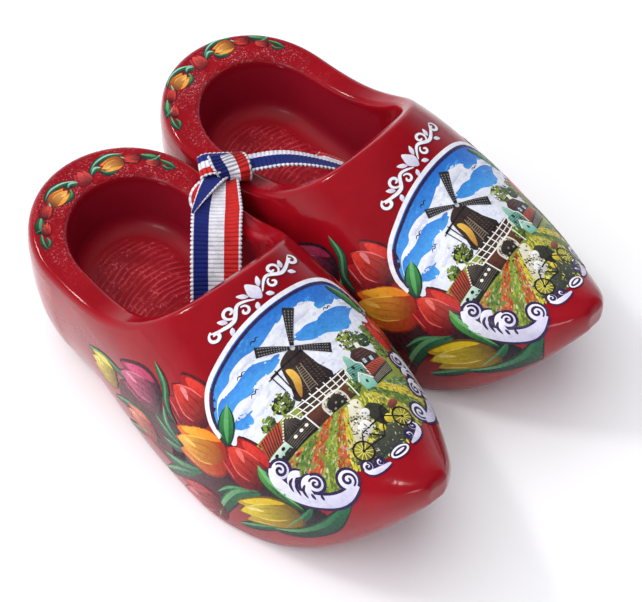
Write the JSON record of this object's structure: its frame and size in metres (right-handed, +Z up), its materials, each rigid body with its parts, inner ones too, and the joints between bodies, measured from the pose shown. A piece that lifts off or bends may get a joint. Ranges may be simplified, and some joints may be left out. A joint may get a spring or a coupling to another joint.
{
  "type": "pair of souvenir wooden clogs",
  "caption": "Pair of small carved wooden clogs in glossy red lacquer with printed toe pictures and heel garlands, tied together by one striped ribbon.",
  "frame": {"origin": "on the ground under the middle of the pair's footprint", "axes": "+Z up, toes point to -Y and heels to +Y, the wearer's right clog is on the -X side and the left clog on the +X side"},
  "size_m": [0.0946, 0.1184, 0.0423],
  "materials": {
    "red_lacquer": "high gloss lacquer",
    "toe_transfer": "gloss, under the varnish",
    "garland_transfer": "satin, slightly rough",
    "striped_ribbon": "ribbed weave, satin"
  },
  "bodies": {
    "right_shoe": {"right_clog": "red_lacquer", "right_toe_print": "toe_transfer", "right_heel_print": "garland_transfer", "ribbon_knot": "striped_ribbon", "ribbon_right_tail": "striped_ribbon"},
    "left_shoe": {"left_clog": "red_lacquer", "left_toe_print": "toe_transfer", "left_heel_print": "garland_transfer", "ribbon_left_tail": "striped_ribbon"}
  },
  "joints": [
    {"name": "left_clog_swivel", "type": "hinge", "parent": "right_shoe", "child": "left_shoe", "pos_m": [-0.00083, 0.02592, 0.033], "axis": [0, 0, 1], "range_deg": [-2, 6]}
  ]
}
